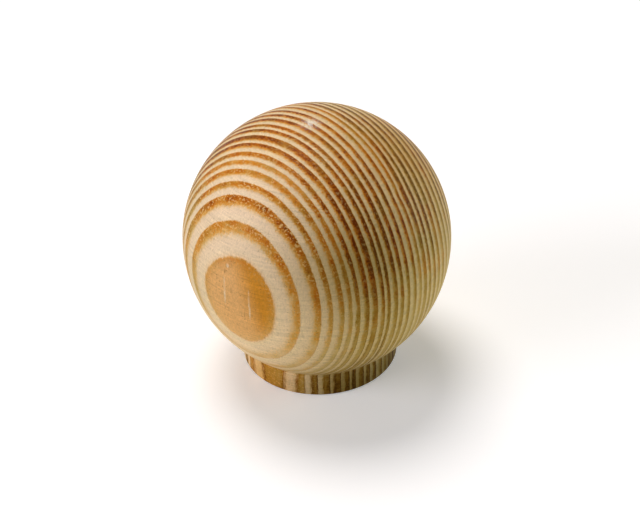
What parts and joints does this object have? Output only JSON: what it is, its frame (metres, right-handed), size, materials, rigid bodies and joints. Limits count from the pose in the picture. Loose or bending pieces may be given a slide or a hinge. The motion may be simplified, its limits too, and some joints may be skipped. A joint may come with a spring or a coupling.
{
  "type": "wooden cabinet knob",
  "caption": "Turned pine ball knob on a short round collar, with a barbed brass insert pressed into its foot for a metric fixing screw.",
  "frame": {"origin": "centre of the foot, the flat face that bears on the door", "axes": "+Z along the turning axis, from the foot to the top of the ball; the screw comes in along +Z"},
  "size_m": [0.04, 0.04, 0.0408],
  "materials": {
    "pine": "clear satin lacquer over turned and sanded pine",
    "brass": "as turned"
  },
  "bodies": {
    "root": {"knob_body": "pine", "threaded_insert": "brass"}
  },
  "joints": []
}
